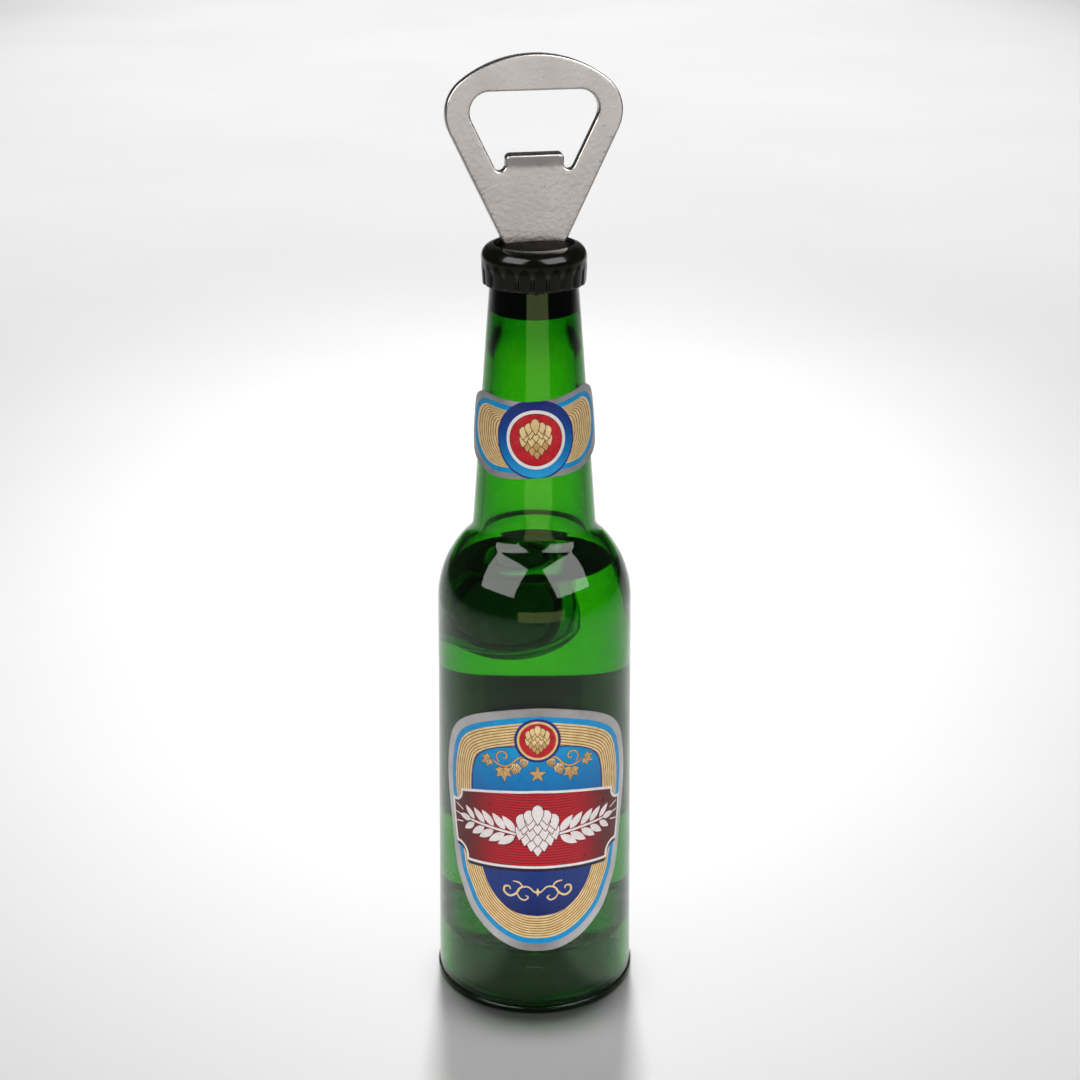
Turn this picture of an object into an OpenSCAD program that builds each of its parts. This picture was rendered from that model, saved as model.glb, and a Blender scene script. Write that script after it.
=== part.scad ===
// Souvenir bottle opener: a half-size plastic long-neck bottle, filled with
// clear liquid up to the foot of its neck, whose cap holds a flat steel opener
// plate. A magnet sits in a pocket at the back.
// Z runs up the bottle's axis from the table, -Y is the front of the plate,
// and +Y is the magnet's side, which goes against a fridge door.

/* [Overall] */
// Height from the table to the top of the plate
total_h = 150; // [149:0.5:151]
// Plastic wall thickness of the bottle
wall = 1.5; // [1.2:0.1:1.8]

/* [Bottle] */
// Outer radius of the barrel at its foot
foot_r = 15.9; // [15.5:0.1:16]
// Outer radius of the barrel where the shoulder starts
barrel_top_r = 15.15; // [14.8:0.05:15.4]
// Height at which the barrel ends and the shoulder starts
shoulder_z = 66.5; // [66:0.5:67.5]
// Radius of the shoulder's curve
shoulder_curve_r = 15; // [14.8:0.1:15.4]
// Outer radius of the neck where it meets the shoulder
neck_foot_r = 9.6; // [9.4:0.1:9.8]
// Radius of the hollow between the shoulder and the neck
neck_fillet_r = 3.5; // [2:0.25:4]
// Outer radius of the neck at its mouth
neck_top_r = 6.3; // [6.2:0.1:6.5]
// Height of the neck's mouth
neck_top_z = 121; // [120.5:0.1:121.2]
// Depth of the straight bore in the mouth
bore_depth = 11; // [10.5:0.5:13]

/* [Base cap] */
// Outer radius of the lip that the bottle stands on
lip_r = 16.15; // [16.1:0.05:16.4]
// Thickness of the lip
lip_h = 1.2; // [1:0.1:1.6]
// Height of the spigot ring inside the bottle
spigot_h = 9.2; // [6:0.2:10]
// Depth of the recess under the base
recess_depth = 0.5; // [0.3:0.1:0.7]

/* [Crown cap] */
// Outer radius of the cap at its widest
cap_r = 7.85; // [7.7:0.05:8]
// Outer radius of the skirt's lower edge
skirt_r = 7.65; // [7.5:0.05:7.7]
// Height of the skirt's lower edge
skirt_z = 116.8; // [116.5:0.1:117.2]
// Height of the middle of the dome
cap_top_z = 123.1; // [122.8:0.1:123.4]
// Number of flutes round the skirt
flutes = 21; // [18:1:24]
// Radius of the shank that fills the mouth of the bottle
shank_r = 4.95; // [4.9:0.05:5]
// Height of the shank's open lower end
shank_z = 112.2; // [111.8:0.1:112.6]

/* [Opener plate] */
// Thickness of the steel
plate_t = 1.8; // [1.5:0.1:2]
// Half of the plate's greatest width
plate_half_w = 13; // [12.8:0.1:13.2]
// Radius of the plate's crown
crown_r = 17.5; // [17.5:0.5:19]
// Radius of the plate's upper corners
corner_r = 6; // [5.5:0.25:6.25]
// Half of the mouth's greatest width
mouth_half_w = 9.45; // [9.2:0.05:9.5]
// Height of the mouth's upper edge
mouth_top_z = 144.8; // [144.3:0.1:145]
// Radius of the mouth's upper corners
mouth_corner_r = 2.9; // [2.5:0.1:3.2]
// Height of the bottom of the two notches beside the lift tab
notch_z = 133.4; // [133.2:0.1:133.6]
// Half of the lift tab's width
tab_half_w = 4.3; // [4:0.1:4.4]
// Length of the lift tab above its bend
tab_len = 1.75; // [1.5:0.05:2.2]
// Angle by which the lift tab leans towards the front
tab_lean = 14; // [5:1:20]
// Half of the width of the tang inside the shank
tang_half_w = 3.7; // [3.4:0.1:3.8]
// Height of the tang's lower end
tang_z = 114.2; // [114:0.1:115]

/* [Magnet] */
// Radius of the magnet
magnet_r = 5; // [4.5:0.1:5.5]
// Thickness of the magnet
magnet_t = 3.5; // [3:0.1:4]
// Height of the magnet's centre
magnet_z = 59.8; // [59:0.1:60]
// Thickness of the adhesive under the magnet
glue_t = 0.2; // [0.15:0.05:0.3]

/* [Filling] */
// Height of the liquid's surface
liquid_z = 73; // [70:0.5:76.5]

/* [Labels] */
// Thickness of each label
label_t = 0.14; // [0.1:0.02:0.2]
// Turn of the front labels towards -X, in degrees
label_turn = 9.3; // [0:0.1:12]
// Height of the widest place of the front label
front_label_z = 39; // [38:0.2:40]
// Height of the neck label's lower edge
neck_label_low = 88.7; // [88:0.1:90]
// Height of the neck label's upper edge
neck_label_high = 101.4; // [99:0.1:102]
// Half of the arc that the neck label covers, in degrees
neck_label_half = 86; // [80:1:88]
// Height of the back label's lower edge
back_label_low = 22.4; // [18:0.2:26]
// Height of the back label's upper edge
back_label_high = 49.4; // [46:0.2:52]
// Half of the arc that the back label covers, in degrees
back_label_half = 50; // [35:1:60]

/* [Hidden] */
$fn = 96;
overlap = 0.5;
arc_steps = 14;

// The neck's sides run straight from where they would cross the shoulder.
shoulder_mid_r = barrel_top_r - shoulder_curve_r;
neck_foot_z = shoulder_z + shoulder_curve_r * sin(acos((neck_foot_r - shoulder_mid_r) / shoulder_curve_r));
neck_slope = (neck_foot_r - neck_top_r) / (neck_top_z - neck_foot_z);
neck_lean = atan(neck_slope);
bore_foot_z = neck_top_z - bore_depth;
flare_z = bore_foot_z - 3;

pocket_r = magnet_r + 0.1;
boss_r = pocket_r + 1.1;
magnet_back_y = lip_r;
pocket_floor_y = magnet_back_y - magnet_t - glue_t;
boss_back_y = lip_r - 0.25;

skirt_bore_r = neck_radius(skirt_z) + 0.06;
dome_edge_r = cap_r - 1.1;
flute_r = 0.62;
flute_orbit_r = cap_r + 0.22;
lock_hole_r = 1.4;
lock_hole_z = 117.6;
shank_bore_r = 3.9;

// Outer radius of the barrel and of the neck at a height.
function barrel_radius(z) =
    foot_r + (barrel_top_r - foot_r) * (z - lip_h) / (shoulder_z - lip_h);
function neck_radius(z) = neck_top_r + neck_slope * (neck_top_z - z);

// Points along an arc, from one angle to the other.
function arc(x, y, r, from, to) =
    [for (i = [0:arc_steps])
        let (a = from + (to - from) * i / arc_steps)
        [x + r * cos(a), y + r * sin(a)]];
// The same points without the first and the last.
function between(points) = [for (i = [1:len(points) - 2]) points[i]];
function mirrored(points) =
    [for (i = [len(points) - 1:-1:0]) [-points[i][0], points[i][1]]];

// Turns a drawing whose X and Y are the part's X and Z into a plate that
// lies in the XZ plane, centred on the plate's middle.
module upright(thickness) {
    translate([0, thickness / 2, 0])
        rotate([90, 0, 0])
            linear_extrude(thickness)
                children();
}

// ---- Bottle -------------------------------------------------------------

// Height of the middle of the fillet that touches both the shoulder and the
// neck, on a surface that lies a given depth inside the outer one.
function fillet_z(depth) =
    let (r = neck_fillet_r + depth)
    let (reach = shoulder_curve_r + neck_fillet_r)
    let (b = neck_radius(0) + (r - depth) / cos(neck_lean) - shoulder_mid_r)
    let (h = b * neck_slope + shoulder_z)
    let (a = 1 + pow(neck_slope, 2))
    (h + sqrt(h * h - a * (b * b + shoulder_z * shoulder_z - reach * reach))) / a;

// Points from the top of the barrel to the foot of the neck.
function shoulder_run(depth) =
    let (z = fillet_z(depth))
    let (x = neck_radius(z) + neck_fillet_r / cos(neck_lean))
    let (meet = atan2(z - shoulder_z, x - shoulder_mid_r))
    concat(
        arc(shoulder_mid_r, shoulder_z, shoulder_curve_r - depth, 0, meet),
        between(arc(x, z, neck_fillet_r + depth, meet + 180, 180 + neck_lean)));

module bottle_profile() {
    inside = shoulder_run(wall);
    polygon(concat(
        [[foot_r - wall, lip_h], [foot_r, lip_h]],
        shoulder_run(0),
        [[neck_top_r, neck_top_z], [shank_r, neck_top_z],
         [shank_r, bore_foot_z],
         [neck_radius(flare_z) - wall, flare_z]],
        [for (i = [len(inside) - 1:-1:0]) inside[i]]));
}

module magnet_boss() {
    translate([0, boss_back_y, magnet_z])
        rotate([90, 0, 0])
            cylinder(r = boss_r, h = boss_back_y - pocket_floor_y + wall);
}

module magnet_pocket() {
    translate([0, boss_back_y + overlap, magnet_z])
        rotate([90, 0, 0])
            cylinder(r = pocket_r, h = boss_back_y + overlap - pocket_floor_y);
}

module bottle_body() {
    color([0.19, 0.51, 0.06, 0.75])
        difference() {
            union() {
                rotate_extrude()
                    bottle_profile();
                magnet_boss();
            }
            magnet_pocket();
        }
}

// ---- Base cap -----------------------------------------------------------

// The base cap's inner edge, from the spigot's top to the middle of the floor.
spigot_top_z = lip_h + spigot_h;
spigot_inside = [
    [barrel_radius(spigot_top_z) - wall, spigot_top_z],
    [barrel_radius(spigot_top_z) - 2 * wall, spigot_top_z],
    [barrel_radius(lip_h) - 2 * wall, lip_h + 0.8],
    [0, lip_h + 0.8]];

module base_cap() {
    color([0.19, 0.51, 0.06, 0.75])
        rotate_extrude()
            polygon(concat(
                [[0, recess_depth], [12, recess_depth], [12.4, 0],
                 [lip_r - 0.3, 0], [lip_r, 0.3],
                 [lip_r, lip_h - 0.2], [lip_r - 0.2, lip_h],
                 [barrel_radius(lip_h) - wall, lip_h]],
                spigot_inside));
}

// ---- Liquid -------------------------------------------------------------

// It fills the barrel, the spigot and the shoulder, round the magnet's boss.
module filling_liquid() {
    inside = shoulder_run(wall);
    neck_foot = inside[len(inside) - 1];
    color([0.85, 0.95, 0.85, 0.4])
        difference() {
            intersection() {
                rotate_extrude()
                    polygon(concat(
                        [for (i = [len(spigot_inside) - 1:-1:0]) spigot_inside[i]],
                        inside,
                        [[0, neck_foot[1]]]));
                cylinder(r = foot_r, h = liquid_z);
            }
            magnet_boss();
        }
}

// ---- Crown cap with its shank -------------------------------------------

module cap_profile() {
    polygon([
        [0, cap_top_z], [dome_edge_r * 0.5, cap_top_z - 0.08],
        [dome_edge_r, cap_top_z - 0.4], [cap_r - 0.45, cap_top_z - 0.8],
        [cap_r, cap_top_z - 1.6], [skirt_r, skirt_z],
        [skirt_bore_r, skirt_z], [skirt_bore_r, neck_top_z],
        [shank_r, neck_top_z], [shank_r, shank_z],
        [shank_bore_r, shank_z], [shank_bore_r, tang_z], [0, tang_z]]);
}

module flute_groove() {
    translate([flute_orbit_r, 0, skirt_z - overlap])
        cylinder(r = flute_r, h = cap_top_z - 1.9 - skirt_z + overlap, $fn = 24);
}

module crown_cap() {
    color([0.05, 0.06, 0.05])
        difference() {
            rotate_extrude()
                cap_profile();
            for (i = [0:flutes - 1])
                rotate([0, 0, 360 * (i + 0.5) / flutes])
                    flute_groove();
            plate_solid();
        }
}

// ---- Opener plate -------------------------------------------------------

// Centres of the crown's arc and of the corner arcs, which are tangent.
crown_z = total_h - crown_r;
corner_x = plate_half_w - corner_r;
corner_z = crown_z + sqrt(pow(crown_r - corner_r, 2) - pow(corner_x, 2));
crown_end_deg = atan2(corner_z - crown_z, corner_x);
// Lean of the plate's straight sides from upright, and where they start.
side_lean = 25.4;
side_start = [corner_x + corner_r * cos(side_lean), corner_z - corner_r * sin(side_lean)];
plate_foot_z = 122.3;
plate_foot_half_w = side_start[0] - tan(side_lean) * (side_start[1] - plate_foot_z);
mouth_corner_x = mouth_half_w - mouth_corner_r;
mouth_corner_z = mouth_top_z - mouth_corner_r;
notch_outer_x = 5.95;
notch_r = (notch_outer_x - tab_half_w) / 2;
notch_mid_z = notch_z + notch_r;

module plate_outline() {
    half = concat(
        [[tang_half_w, tang_z], [tang_half_w, plate_foot_z - 0.6],
         [plate_foot_half_w, plate_foot_z]],
        arc(corner_x, corner_z, corner_r, -side_lean, crown_end_deg));
    polygon(concat(
        half,
        between(arc(0, crown_z, crown_r, crown_end_deg, 180 - crown_end_deg)),
        mirrored(half)));
}

// The mouth, down to the two notches beside the lift tab.
module mouth_outline() {
    half = concat(
        arc(tab_half_w + notch_r, notch_mid_z, notch_r, 180, 360 - side_lean),
        arc(mouth_corner_x, mouth_corner_z, mouth_corner_r, -side_lean, 90));
    polygon(concat(half, mirrored(half)));
}

module lift_tab() {
    translate([0, plate_t / 2, notch_mid_z])
        rotate([tab_lean, 0, 0])
            translate([0, -plate_t / 2, 0])
                upright(plate_t)
                    translate([-tab_half_w, -overlap])
                        square([2 * tab_half_w, tab_len + overlap]);
}

module plate_solid() {
    upright(plate_t)
        difference() {
            plate_outline();
            mouth_outline();
            translate([0, lock_hole_z])
                circle(r = lock_hole_r, $fn = 32);
        }
    lift_tab();
}

module opener_plate() {
    color([0.67, 0.64, 0.61])
        plate_solid();
}

// ---- Magnet and its adhesive --------------------------------------------

module magnet() {
    color([0.16, 0.16, 0.17])
        translate([0, magnet_back_y, magnet_z])
            rotate([90, 0, 0])
                cylinder(r = magnet_r, h = magnet_t);
}

module magnet_glue() {
    color([0.85, 0.82, 0.68])
        translate([0, magnet_back_y - magnet_t, magnet_z])
            rotate([90, 0, 0])
                cylinder(r = magnet_r - 0.8, h = glue_t);
}

// ---- Labels -------------------------------------------------------------

// A thin skin on the barrel, between two heights.
module barrel_skin(low, high, half_arc, middle) {
    rotate([0, 0, middle - half_arc])
        rotate_extrude(angle = 2 * half_arc)
            polygon([
                [barrel_radius(low), low],
                [barrel_radius(low) + label_t, low],
                [barrel_radius(high) + label_t, high],
                [barrel_radius(high), high]]);
}

// Half of the front label's edge: distance along the curve, and height
// from its widest place.
front_edge = [[0, -27.3], [3.2, -27], [6.4, -25.7], [9.2, -23.7], [11.6, -21.2],
              [13.2, -18.2], [14.4, -15.6], [15.1, -12.4], [15.8, -7.5], [16.6, -3],
              [16.9, 0], [16.8, 2.8], [16.4, 5.4], [15.6, 8], [14, 10.3],
              [11.6, 12.1], [8.6, 13.5], [5.2, 14.5], [2.6, 15], [0, 15.2]];

// The edge seen from straight in front, once it is wrapped on the barrel.
module front_label_outline() {
    half = [for (p = front_edge)
        let (r = barrel_radius(front_label_z + p[1]))
        [r * sin(p[0] / r * 180 / PI), front_label_z + p[1]]];
    polygon(concat(half, between(mirrored(half))));
}

module front_label() {
    color([0.85, 0.75, 0.5])
        rotate([0, 0, -label_turn])
            intersection() {
                barrel_skin(10, 58, 75, -90);
                translate([0, -5, 0])
                    rotate([90, 0, 0])
                        linear_extrude(15)
                            front_label_outline();
            }
}

module neck_label() {
    low = neck_label_low;
    high = neck_label_high;
    color([0.85, 0.75, 0.5])
        rotate([0, 0, -90 - label_turn - neck_label_half])
            rotate_extrude(angle = 2 * neck_label_half)
                polygon([
                    [neck_radius(low), low],
                    [neck_radius(low) + label_t, low],
                    [neck_radius(high) + label_t, high],
                    [neck_radius(high), high]]);
}

module back_label() {
    color([0.82, 0.83, 0.84])
        barrel_skin(back_label_low, back_label_high, back_label_half, 90 - label_turn);
}

bottle_body();
base_cap();
crown_cap();
opener_plate();
magnet();
magnet_glue();
filling_liquid();
front_label();
neck_label();
back_label();
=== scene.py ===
"""Souvenir bottle opener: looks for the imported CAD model, in metres, in its frame."""
from math import acos, atan, atan2, ceil, cos, dist, exp, hypot, radians, sin, sqrt, tan, pi as PI

import bmesh
import bpy
import numpy as np
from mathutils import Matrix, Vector
from mathutils.geometry import delaunay_2d_cdt


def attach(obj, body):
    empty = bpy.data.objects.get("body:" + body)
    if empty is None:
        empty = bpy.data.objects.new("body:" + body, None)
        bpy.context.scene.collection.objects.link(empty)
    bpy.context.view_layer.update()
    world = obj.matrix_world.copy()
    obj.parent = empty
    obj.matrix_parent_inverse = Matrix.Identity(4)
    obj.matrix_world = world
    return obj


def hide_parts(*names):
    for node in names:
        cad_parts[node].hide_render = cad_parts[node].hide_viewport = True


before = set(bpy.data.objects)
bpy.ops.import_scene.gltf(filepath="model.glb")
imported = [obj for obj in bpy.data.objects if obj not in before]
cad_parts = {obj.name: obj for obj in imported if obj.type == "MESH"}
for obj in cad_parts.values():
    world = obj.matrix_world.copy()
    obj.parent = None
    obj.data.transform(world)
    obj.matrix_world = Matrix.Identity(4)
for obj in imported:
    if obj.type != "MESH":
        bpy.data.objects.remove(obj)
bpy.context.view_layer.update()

MM = 0.001
scene = bpy.context.scene

# ---- dimensions
# The CAD model's own dimensions, in millimetres.
WALL = 1.5
FOOT_R = 15.9
BARREL_TOP_R = 15.15
SHOULDER_Z = 66.5
SHOULDER_CURVE_R = 15.0
NECK_FOOT_R = 9.6
NECK_FILLET_R = 3.5
NECK_TOP_R = 6.3
NECK_TOP_Z = 121.0
BORE_DEPTH = 11.0
LIP_R = 16.15
LIP_H = 1.2
SPIGOT_H = 9.2
RECESS_DEPTH = 0.5
CAP_R = 7.85
SKIRT_R = 7.65
SKIRT_Z = 116.8
CAP_TOP_Z = 123.1
FLUTES = 21
FLUTE_TOP_Z = 120.5
SHANK_R = 4.95
SHANK_BORE_R = 3.9
SHANK_Z = 112.2
TOTAL_H = 150.0
PLATE_T = 1.8
PLATE_HALF_W = 13.0
CROWN_R = 17.5
CORNER_R = 6.0
MOUTH_HALF_W = 9.45
MOUTH_TOP_Z = 144.8
MOUTH_CORNER_R = 2.9
NOTCH_Z = 133.4
NOTCH_OUTER_X = 5.95
TAB_HALF_W = 4.3
TAB_LEN = 1.75
TAB_LEAN = radians(8)
TANG_HALF_W = 3.7
TANG_Z = 114.2
SIDE_LEAN = radians(25.4)
PLATE_FOOT_Z = 122.3
LOCK_HOLE_R = 1.4
LOCK_HOLE_Z = 117.6
MAGNET_R = 5.0
MAGNET_T = 3.5
MAGNET_Z = 59.8
GLUE_T = 0.2
POCKET_R = MAGNET_R + 0.1
BOSS_R = POCKET_R + 1.1
LIQUID_Z = 73.0
BACK_LABEL_LOW = 22.4
BACK_LABEL_HIGH = 49.4
BACK_LABEL_HALF = radians(50)
LABEL_T = 0.14
LABEL_TURN = radians(9.3)
LABEL_GAP = 0.012
BOSS_EDGE = 0.12
COLUMNS = 192
# How far clear pieces that touch overlap, so that no film of air shows between them.
CONTACT = 0.03

POCKET_Y = LIP_R - MAGNET_T - GLUE_T
SPIGOT_TOP_Z = LIP_H + SPIGOT_H
BASE_FLOOR_Z = LIP_H + 0.8

SHOULDER_MID_R = BARREL_TOP_R - SHOULDER_CURVE_R
NECK_FOOT_Z = SHOULDER_Z + SHOULDER_CURVE_R * sin(
    acos((NECK_FOOT_R - SHOULDER_MID_R) / SHOULDER_CURVE_R))
NECK_SLOPE = (NECK_FOOT_R - NECK_TOP_R) / (NECK_TOP_Z - NECK_FOOT_Z)
NECK_LEAN = atan(NECK_SLOPE)


def barrel_radius(z):
    return FOOT_R + (BARREL_TOP_R - FOOT_R) * (z - LIP_H) / (SHOULDER_Z - LIP_H)


def neck_radius(z):
    return NECK_TOP_R + NECK_SLOPE * (NECK_TOP_Z - z)


# ---- outlines
def polar(r, angle, x=0.0, y=0.0):
    return (x + r * cos(angle), y + r * sin(angle))


def arc(x, y, r, start, end, steps=16):
    """Points along an arc between two angles, in radians, both ends included."""
    return [polar(r, start + (end - start) * i / steps, x, y) for i in range(steps + 1)]


def circle(x, y, r, steps=64):
    return arc(x, y, r, 0, 2 * PI, steps)[:-1]


def straight(start, end, steps):
    """Points between two points, without the last."""
    (x, y), (to_x, to_y) = start, end
    return [(x + (to_x - x) * i / steps, y + (to_y - y) * i / steps) for i in range(steps)]


def spline(points, steps=6, closed=True):
    """A Catmull-Rom curve through the points."""
    p, n = np.array(points, float), len(points)
    out = []
    for i in range(n if closed else n - 1):
        a, b, c, d = (p[(i + k) % n if closed else min(max(i + k, 0), n - 1)]
                      for k in (-1, 0, 1, 2))
        for t in (s / steps for s in range(steps)):
            out.append(0.5 * (2 * b + (c - a) * t + (2 * a - 5 * b + 4 * c - d) * t * t
                              + (3 * b - a - 3 * c + d) * t ** 3))
    return [tuple(q.tolist()) for q in (out if closed else out + [p[-1]])]


def unit(rows):
    return rows / np.linalg.norm(rows, axis=1)[:, None]


def inset(points, distance):
    """The closed outline moved inwards along its normals (counterclockwise input)."""
    p = np.array(points, float)
    ahead = unit(np.roll(p, -1, 0) - p)
    along = unit(ahead + unit(p - np.roll(p, 1, 0)))
    normal = np.stack([-along[:, 1], along[:, 0]], 1)
    spread = np.clip((along * ahead).sum(1), 0.5, 1)
    return [tuple(q) for q in (p + normal * (distance / spread)[:, None]).tolist()]


def mirrored(points):
    return [(-x, y) for x, y in reversed(points)]


def moved(points, dx=0.0, dy=0.0, turn=0.0, scale=1.0):
    c, s = cos(turn) * scale, sin(turn) * scale
    return [(dx + c * x - s * y, dy + s * x + c * y) for x, y in points]


def stroke(points, width, taper=(0.25, 0.25), steps=8):
    """A ribbon along a smooth open curve; taper gives the ends' share of the width."""
    path = np.array(spline(points, steps, closed=False))
    along = unit(np.gradient(path, axis=0))
    side = np.stack([-along[:, 1], along[:, 0]], 1)
    t = np.linspace(0, 1, len(path))
    swell = np.sin(PI * t) ** 0.6
    ends = taper[0] * (1 - t) + taper[1] * t
    half = 0.5 * width * (ends + (1 - ends) * swell)
    left = path + side * half[:, None]
    right = path - side * half[:, None]
    return [tuple(q) for q in np.concatenate([left, right[::-1]]).tolist()]


# ---- mesh tools
def shade(piece, sharp_angle):
    """Smooth shading, with edges left sharp above an angle in degrees."""
    piece.data.shade_smooth()
    piece.data.set_sharp_from_angle(angle=radians(sharp_angle))


def add_piece(name, vertices, faces, materials=(), slots=None, sharp_angle=35):
    mesh = bpy.data.meshes.new(name)
    mesh.from_pydata(vertices, [], faces)
    for material in materials:
        mesh.materials.append(material)
    if slots is not None:
        mesh.polygons.foreach_set("material_index", slots)
    piece = bpy.data.objects.new(name, mesh)
    shade(piece, sharp_angle)
    scene.collection.objects.link(piece)
    return piece


def revolved(profile, columns, radius=None):
    """Turns a closed (r, z) profile in millimetres about the Z axis.

    radius(r, z, angle) may change a point's distance from the axis.
    """
    vertices, faces, rows = [], [], []
    for r, z in profile:
        if r < 1e-6:
            rows.append([len(vertices)])
            vertices.append((0.0, 0.0, z * MM))
            continue
        rows.append(list(range(len(vertices), len(vertices) + columns)))
        for j in range(columns):
            a = 2 * PI * j / columns
            s = radius(r, z, a) if radius else r
            vertices.append((s * cos(a) * MM, s * sin(a) * MM, z * MM))
    for i, here in enumerate(rows):
        there = rows[(i + 1) % len(rows)]
        for j in range(columns):
            k = (j + 1) % columns
            corners = ((here, j), (here, k), (there, k), (there, j))
            face = tuple(dict.fromkeys(row[m % len(row)] for row, m in corners))
            if len(face) > 2:
                faces.append(face)
    return vertices, faces


def divided(outline, longest):
    """The closed outline with its long edges cut into shorter ones."""
    out = []
    for start, end in zip(outline, outline[1:] + outline[:1]):
        count = max(1, ceil(dist(start, end) / longest))
        out += straight(start, end, count)
    return out


def flat_filled(outlines, spacing, inside):
    """Triangles over an area: the outlines are kept as edges, with a grid of points between."""
    points, edges = [], []
    for outline in [divided(outline, spacing) for outline in outlines]:
        first = len(points)
        points += [Vector(p) for p in outline]
        edges += [(first + i, first + (i + 1) % len(outline)) for i in range(len(outline))]
    span = np.array([tuple(p) for p in points])
    low, high = span.min(0), span.max(0)
    for x in np.arange(low[0], high[0], spacing):
        for y in np.arange(low[1], high[1], spacing):
            points.append(Vector((x + 0.013, y + 0.007)))
    flat, _, triangles = delaunay_2d_cdt(points, edges, [], 0, 1e-5)[:3]
    flat = np.array([tuple(p) for p in flat])
    triangles = np.array([t for t in triangles if len(t) == 3])
    a, b, c = (flat[triangles[:, k]] for k in range(3))
    (bx, by), (cx, cy) = (b - a).T, (c - a).T
    area = bx * cy - by * cx
    keep = inside((a + b + c) / 3) & (np.abs(area) > 1e-9)
    triangles = triangles[keep]
    turned = area[keep] < 0
    triangles[turned] = triangles[turned][:, ::-1]
    return flat, triangles


def within(centres, outline):
    """Which of the points lie inside a closed outline."""
    p = np.array(outline, float)
    (px, py), (qx, qy) = p.T, np.roll(p, -1, 0).T
    near = np.flatnonzero(((centres >= p.min(0)) & (centres <= p.max(0))).all(1))
    result = np.zeros(len(centres), bool)
    x, y = centres[near, 0][:, None], centres[near, 1][:, None]
    spans = (py > y) != (qy > y)
    rise = np.where(qy == py, 1e-12, qy - py)
    crossing = px + (y - py) / rise * (qx - px)
    result[near] = ((spans & (x < crossing)).sum(1) % 2) == 1
    return result


def both_sides(triangles, count):
    """The triangles as faces, and the same ones turned over on a second set of points."""
    faces = [tuple(t) for t in triangles.tolist()]
    return faces + [tuple(count + i for i in reversed(t)) for t in faces]


def boundary_edges(triangles):
    """Directed edges that belong to one triangle only."""
    seen = {(t[k], t[(k + 1) % 3]) for t in triangles.tolist() for k in range(3)}
    return [e for e in seen if (e[1], e[0]) not in seen]


def stacked(rings):
    """A closed solid from rings with equally many points, with a flat face on each end."""
    steps, last = len(rings[0]), len(rings) - 1
    vertices = [point for ring in rings for point in ring]
    faces = []
    for i in range(last):
        for j in range(steps):
            k = (j + 1) % steps
            faces.append((i * steps + j, (i + 1) * steps + j, (i + 1) * steps + k, i * steps + k))
    faces.append(tuple(range(steps)))
    faces.append(tuple(reversed(range(last * steps, (last + 1) * steps))))
    return vertices, faces


def cut_or_join(piece, operation, vertices, faces, sharp_angle):
    """Applies one exact Boolean with a helper solid, then removes the helper."""
    other = add_piece("helper", vertices, faces)
    step = piece.modifiers.new("step", "BOOLEAN")
    step.operation = operation
    step.solver = "EXACT"
    step.object = other
    graph = bpy.context.evaluated_depsgraph_get()
    mesh = bpy.data.meshes.new_from_object(piece.evaluated_get(graph))
    piece.modifiers.clear()
    old = piece.data
    piece.data = mesh
    bpy.data.meshes.remove(old)
    bpy.data.objects.remove(other)
    shade(piece, sharp_angle)


# ---- materials
class Look:
    """A material with its Principled shader, and short ways to add nodes before it."""

    def __init__(self, name, values=None):
        self.material = bpy.data.materials.new(name)
        self.material.use_nodes = True
        self.nodes = self.material.node_tree.nodes
        self.shader = self.nodes["Principled BSDF"]
        self.output = self.nodes["Material Output"]
        self.fill(values or {})

    def fill(self, values, node=None):
        """Gives each named input of a node, or else of the shader, a constant or a link."""
        node = node or self.shader
        for key, value in values.items():
            if isinstance(value, bpy.types.NodeSocket):
                self.material.node_tree.links.new(value, node.inputs[key])
            else:
                node.inputs[key].default_value = value

    def node(self, kind, values=None, out=None, **settings):
        """Adds a node and gives back one of its outputs, or the node itself."""
        node = self.nodes.new("ShaderNode" + kind)
        for key, value in settings.items():
            setattr(node, key, value)
        self.fill(values or {}, node)
        return node.outputs[out] if out else node

    def noise(self, scale, detail=4.0, roughness=0.5, stretch=(1, 1, 1)):
        where = self.node("TexCoord", out="Object")
        place = self.node("Mapping", {"Vector": where, "Scale": stretch}, "Vector")
        values = {"Vector": place, "Scale": scale, "Detail": detail, "Roughness": roughness}
        return self.node("TexNoise", values, "Fac")

    def spread(self, value, low, high, from_low=0.3, from_high=0.7):
        values = {"Value": value, "From Min": from_low, "From Max": from_high,
                  "To Min": low, "To Max": high}
        return self.node("MapRange", values, "Result")

    def ramp(self, value, *stops):
        node = self.node("ValToRGB", {"Fac": value})
        elements = node.color_ramp.elements
        while len(elements) < len(stops):
            elements.new(0.5)
        for element, (position, colour) in zip(elements, stops):
            element.position, element.color = position, (*colour, 1)
        return node.outputs["Color"]

    def blend(self, factor, a, b, kind="MIX"):
        values = {"Factor": factor, "A": a, "B": b}
        return self.node("Mix", values, "Result", data_type="RGBA", blend_type=kind)

    def maths(self, operation, a, b=None, clamp=False):
        values = {0: a} if b is None else {0: a, 1: b}
        return self.node("Math", values, "Value", operation=operation, use_clamp=clamp)

    def bump(self, height, strength, distance):
        values = {"Height": height, "Strength": strength, "Distance": distance}
        self.fill({"Normal": self.node("Bump", values, "Normal")})


def srgb(r, g, b):
    """A colour given as display values from 0 to 255, as linear light."""
    return tuple(
        (c / 255 / 12.92) if c <= 10.31 else ((c / 255 + 0.055) / 1.055) ** 2.4
        for c in (r, g, b))


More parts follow.
